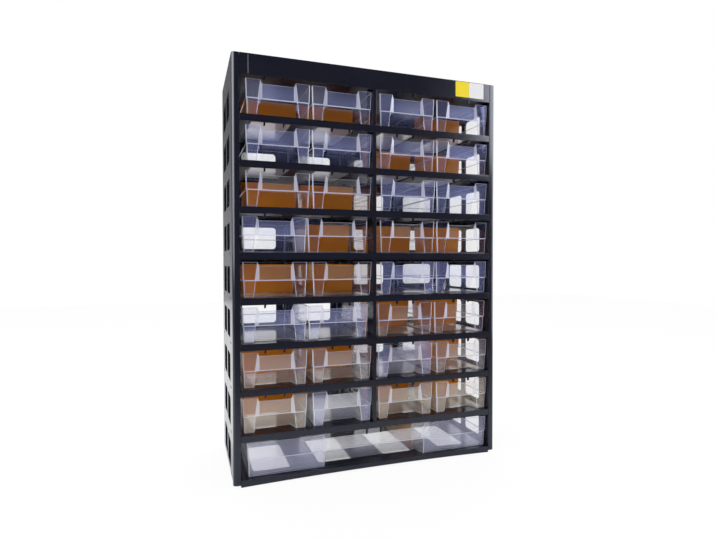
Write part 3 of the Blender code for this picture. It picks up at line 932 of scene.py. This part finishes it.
def insetCorners(points, distance):
    moved = []
    count = len(points)
    for i in range(count):
        alongIn = (points[i] - points[i - 1]).normalized()
        alongOut = (points[(i + 1) % count] - points[i]).normalized()
        normalIn = Vector((-alongIn.y, alongIn.x))
        normalOut = Vector((-alongOut.y, alongOut.x))
        shift = (normalIn + normalOut) / (1 + normalIn.dot(normalOut))
        moved.append(points[i] + shift * distance)
    return moved


# rounds each corner and puts two points on each side, where a painted edge highlight fades out
def roundedRing(corners, radii, tray):
    count = len(corners)
    arcs = []
    for i in range(count):
        into = (corners[i] - corners[i - 1]).normalized()
        away = (corners[(i + 1) % count] - corners[i]).normalized()
        turn = math.atan2(into.x * away.y - into.y * away.x, into.dot(away))
        cutBack = radii[i] * math.tan(abs(turn) / 2)
        start = corners[i] - into * cutBack
        normal = Vector((-into.y, into.x)) * (1 if turn > 0 else -1)
        centre = start + normal * radii[i]
        arc = []
        for step in range(tray["arcSteps"] + 1):
            angle = turn * step / tray["arcSteps"]
            arc.append(centre + Matrix.Rotation(angle, 2) @ (start - centre))
        arcs.append(arc)
    ring = []
    for i in range(count):
        ring += [(point, i, "arc") for point in arcs[i]]
        start = arcs[i][-1]
        end = arcs[(i + 1) % count][0]
        fade = min(tray["glint"], (end - start).length / 3)
        along = (end - start).normalized()
        ring.append((start + along * fade, i, "leave"))
        ring.append((end - along * fade, i, "reach"))
    return ring


def trayMesh(name, tray, width, length, height):
    wall, floor, step = tray["wall"], tray["floor"], tray["step"]
    under = step - tray["stepRise"]
    fade = tray["glint"]
    foot = tray["footRound"]
    flat = foot + tray["floorRing"]
    shines = tray["footShine"]
    rimSide, rimDown = tray["rimRound"]
    bright, rim = tray["stepShine"], tray["rimShine"]
    # rings as height, distance in from the wall, painted highlight
    upper = [(under - fade, 0.0, 0.0), (under, 0.0, bright), (step, 0.0, bright), (step + fade, 0.0, 0.0)]
    upper += [(height - tray["rimGlint"], 0.0, 0.0), (height - rimDown, 0.0, rim), (height, rimSide, rim)]
    bend = [foot * share for share in tray["footBend"]]
    outer = [(0.0, flat, 0.0), (0.0, foot, shines[0]), (*bend, shines[1])]
    outer += [(foot, 0.0, shines[2]), (foot + fade, 0.0, 0.0)] + upper
    inner = [(floor, flat, 0.0), (floor, foot, 0.0), (floor + bend[0], bend[1], tray["insideFootShine"])]
    inner += [(floor + foot, 0.0, 0.0)] + upper
    sharp = tray["edgeRound"]
    radii = [tray["cornerRound"], sharp, sharp, sharp, sharp, tray["cornerRound"]] + [tray["rearRound"]] * 2
    bm = bmesh.new()
    layers = {trait: bm.verts.layers.float.new(trait) for trait in trayTraits}

    def addRing(z, extra, shine, inside):
        corners = trayCorners(tray, width, length, height, z, 0.0 if inside else extra)
        if inside:
            corners = insetCorners(corners, wall + (extra if z < height / 2 else -extra))
        ring = []
        for point, i, kind in roundedRing(corners, radii, tray):
            centre = i in (2, 3) and kind == "arc" or i == 2
            pillar = i in (0, 4) or i in (1, 5) and kind == "arc"
            facet = i in (1, 3) and kind != "arc"
            level = z
            if z > height - 2 * fade:
                if centre:
                    level = z - tray["topDrop"]
                elif facet:
                    near = kind == ("reach" if i == 1 else "leave")
                    level = z - tray["topDrop"] * tray["facetDrop"][0 if near else 1]
            vert = bm.verts.new((point.x, point.y, level))
            upright = tray["cornerShine"][i] if kind == "arc" else 0.0
            if z < under and i in (2, 3):
                upright = 0.0
            if facet and z > under:
                upright = max(upright, tray["facetShine"])
            traits = dict.fromkeys(trayTraits, 0.0)
            # edge holds the painted highlight, faint on the inside of the wall
            traits["edge"] = max(upright, shine) * (tray["insideShine"] if inside else 1.0)
            if centre and z > step - fade:
                traits["frost"] = tray["frost"] * tray["frostEnds"][0 if z < step + 2 * fade else 1]
            if pillar:
                traits["veil"] = tray["veil"]
            elif centre and z < under:
                traits["veil"] = tray["lowVeil"]
            if z < under:
                traits["low"] = 1.0
            # floor faces: milk seen from above, painted light on the underside
            if extra == flat:
                traits["floor"] = tray["floorVeil"] if inside else tray["paintedUnderLight"]
            traits["blue"] = tray["blue"]
            for trait, value in traits.items():
                vert[layers[trait]] = value
            ring.append(vert)
        return ring

    outerRings = [addRing(z, extra, shine, False) for z, extra, shine in outer]
    innerRings = [addRing(z, extra, shine, True) for z, extra, shine in inner]
    rings = outerRings + innerRings[::-1]
    for low, high in zip(rings, rings[1:]):
        for i in range(len(low)):
            j = (i + 1) % len(low)
            bm.faces.new((low[i], low[j], high[j], high[i]))
    for face in bm.faces:
        face.smooth = True
    caps = [bm.faces.new(rings[0]), bm.faces.new(rings[-1])]
    bmesh.ops.recalc_face_normals(bm, faces=bm.faces)
    bmesh.ops.triangulate(bm, faces=caps)
    mesh = bpy.data.meshes.new(name)
    bm.to_mesh(mesh)
    bm.free()
    mesh.set_sharp_from_angle(angle=shading["traySharp"])
    return mesh


def trayPlace(node):
    low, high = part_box(node)
    return Vector(((low[0] + high[0]) / 2, low[1], low[2])), Vector(high) - Vector(low)


def dividerNodes():
    nodes = sorted(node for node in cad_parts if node.startswith("divider_"))
    for row, columns in divider["drawn"].items():
        nodes += [f"divider_r{row}_c{column}" for column in columns]
    return nodes


def makeTrays():
    size = trayPlace("drawer_r1_c1")[1]
    empty = trayMesh("tray", smallTray, *size)
    divided = trayMesh("trayDivided", dividedTray, *size)
    highDivided = trayMesh("trayHighDivided", highDividedTray, *size)
    plates = dividerNodes()
    for row in range(1, 9):
        for column in range(1, 5):
            node = f"drawer_r{row}_c{column}"
            name = f"tray_r{row}_c{column}"
            mesh = empty
            if f"divider_r{row}_c{column}" in plates:
                mesh = highDivided if row < 3 else divided
            copy = movedCopy(mesh, trayPlace(node)[0], name)
            finishPiece(name, copy, clearPlastic, node, [node])
    for mesh in (empty, divided, highDivided):
        bpy.data.meshes.remove(mesh)
    place, size = trayPlace("bottom_drawer")
    wide = trayMesh("tray_wide", wideTray, *size)
    wide.transform(Matrix.Translation(place))
    finishPiece("tray_wide", wide, clearPlastic, "bottom_drawer", ["bottom_drawer"])


# dividers

def dividerMesh():
    size = trayPlace("drawer_r1_c1")[1]
    height = size.z
    wall = smallTray["wall"] + carcass["fitGap"]
    levels = [0.0, smallTray["step"] - smallTray["stepRise"], smallTray["step"], height]
    half = [size.x / 2 - trayLevel(smallTray, height, z)[0] - wall for z in levels]
    levels[0] = smallTray["floor"] + carcass["fitGap"]
    levels[2] += carcass["fitGap"]
    levels[3] = height - divider["topDrop"]
    edge = list(zip(half, levels))
    outline = edge + [(-x, z) for x, z in reversed(edge)]
    middle = divider["back"]
    thin = divider["thickness"] / 2
    return carve("divider", [(outline, 1, middle - thin, middle + thin)], [], [], divider["edgeRound"])


def makeDividers():
    mesh = dividerMesh()
    for node in dividerNodes():
        drawer = node.replace("divider", "drawer")
        name = node.replace("divider", "divider_plate")
        copy = movedCopy(mesh, trayPlace(drawer)[0], name)
        inCad = [node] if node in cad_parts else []
        finishPiece(name, copy, orangePlastic, drawer, inCad)
    bpy.data.meshes.remove(mesh)
    low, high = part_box("bottom_divider")
    outline = rectangle((low[1], low[2]), (high[1], high[2]))
    name = "divider_plate_bottom"
    plate = carve(name, [(outline, 0, low[0], high[0])], [], [], divider["edgeRound"])
    finishPiece(name, plate, paleOrangePlastic, "bottom_drawer", ["bottom_divider"])


makeTrays()
makeDividers()
print("drawers made")


# label

def makeLabel():
    right = stileInner - label["right"]
    low = topZ - label["height"] - label["drop"]
    middle = right - label["white"]
    front = frontY - label["thickness"]
    back = frontY - label["behind"]
    radius, steps = label["round"], label["roundSteps"]
    for name, left, end, paper in (
        ("label_white", middle, right, whitePaper),
        ("label_yellow", middle - label["yellow"], middle - label["seam"], yellowPaper),
    ):
        outline = roundedRectangle((left, low), (end, low + label["height"]), radius, steps)
        mesh = carve(name, [(outline, 1, front, back)], [], [], label["edgeRound"])
        finishPiece(name, mesh, paper, "cabinet")


makeLabel()
print("label made")


# studio

def makeFloor():
    material, graph = newMaterial("studioFloor")
    seen = graph.ray("Is Camera Ray")
    glossy = graph.ray("Is Glossy Ray")
    y = graph.axis(graph.objectPlace(), "Y")
    near = graph.ramp(y, (studio["floorDark"], studio["floorBright"]))
    lit = 1 - glossy * (1 - near * near * near)  # gloss mirrors a darker floor in front
    tone = graph.mixColour(lit, *studio["floorTones"])
    sockets = {"Base Color": tone, "Roughness": studio["floorRoughness"]}
    paint = graph.node("ShaderNodeBsdfPrincipled", None, sockets)
    white = graph.node("ShaderNodeEmission", None, {"Color": (1, 1, 1, 1), "Strength": 1.0})
    sockets = {0: seen * (1 - studio["floorShade"]), 1: paint, 2: white}
    mixed = graph.node("ShaderNodeMixShader", None, sockets)
    graph.node("ShaderNodeOutputMaterial", None, {"Surface": mixed})
    half = studio["floorHalf"]
    mesh = bpy.data.meshes.new("floor")
    level = boxLow.z - studio["floorGap"]
    corners = rectangle((-half, -half), (half, half))
    mesh.from_pydata([(*corner, level) for corner in corners], [], [(0, 1, 2, 3)])
    mesh.materials.append(material)
    floor = linkedObject("floor", mesh)


def makeWorld():
    world = bpy.data.worlds.new("studio")
    bpy.context.scene.world = world
    world.use_nodes = True
    graph = Graph(world.node_tree)
    seen = graph.ray("Is Camera Ray").largest(graph.ray("Is Transmission Ray"))
    glossy = graph.ray("Is Glossy Ray")
    facing = graph.node("ShaderNodeTexCoord", None, None, "Generated")
    sideways, towards, upwards = (graph.axis(facing, axis) for axis in "XYZ")
    behind = graph.ramp(towards, studio["backdropEnds"])
    left = graph.ramp(sideways, studio["leftEnds"])
    corner = graph.ramp(upwards - sideways, studio["cornerEnds"], 0.0, 1 - studio["mirrorHigh"])
    backdrop = (1 - left * corner) * studio["mirrorBack"]
    mirrored = studio["mirrorFront"] + behind * (backdrop - studio["mirrorFront"])
    fill = studio["fillFront"] + behind * (studio["fillBack"] - studio["fillFront"])
    strength = seen + (1 - seen) * (glossy * mirrored + (1 - glossy) * fill)
    room = glossy * (1 - seen) * (1 - behind)
    tone = graph.mixColour(room, (1, 1, 1, 1), studio["roomTone"])
    sky = graph.node("ShaderNodeBackground", None, {"Color": tone, "Strength": strength})
    graph.node("ShaderNodeOutputWorld", None, {"Surface": sky})


def makeLights():
    aim = Vector((0, 0, topZ / 2))
    for i, box in enumerate(studio["softboxes"]):
        lamp = bpy.data.lights.new(f"softbox{i}", "AREA")
        lamp.shape = "RECTANGLE"
        lamp.size, lamp.size_y = box["size"]
        lamp.energy = box["power"]
        obj = linkedObject(f"softbox{i}", lamp)
        obj.location = box["place"]
        obj.visible_diffuse = not box["onlyGloss"]
        obj.rotation_euler = (aim - obj.location).to_track_quat("-Z", "Y").to_euler()


def makeCamera():
    yaw, pitch, roll = view["yaw"], view["pitch"], view["roll"]
    ahead = math.cos(pitch)
    forward = Vector((math.sin(yaw) * ahead, math.cos(yaw) * ahead, math.sin(pitch)))
    level = Vector((math.cos(yaw), -math.sin(yaw), 0))
    up = level.cross(forward)
    right = level * math.cos(roll) + up * math.sin(roll)
    above = up * math.cos(roll) - level * math.sin(roll)
    data = bpy.data.cameras.new("photoCamera")
    data.sensor_fit = "HORIZONTAL"
    data.sensor_width = view["sensor"]
    data.lens = view["focalPixels"] / view["imageWidth"] * view["sensor"]
    data.clip_start = view["clipStart"]
    obj = linkedObject("photoCamera", data)
    turned = Matrix((right, above, -forward)).transposed()
    obj.matrix_world = Matrix.Translation(view["place"]) @ turned.to_4x4()
    bpy.context.scene.camera = obj


makeFloor()
makeWorld()
makeLights()
makeCamera()
scene = bpy.context.scene
scene.view_settings.view_transform = "Standard"
scene.cycles.transparent_max_bounces = studio["clearLayers"]
print("studio made")
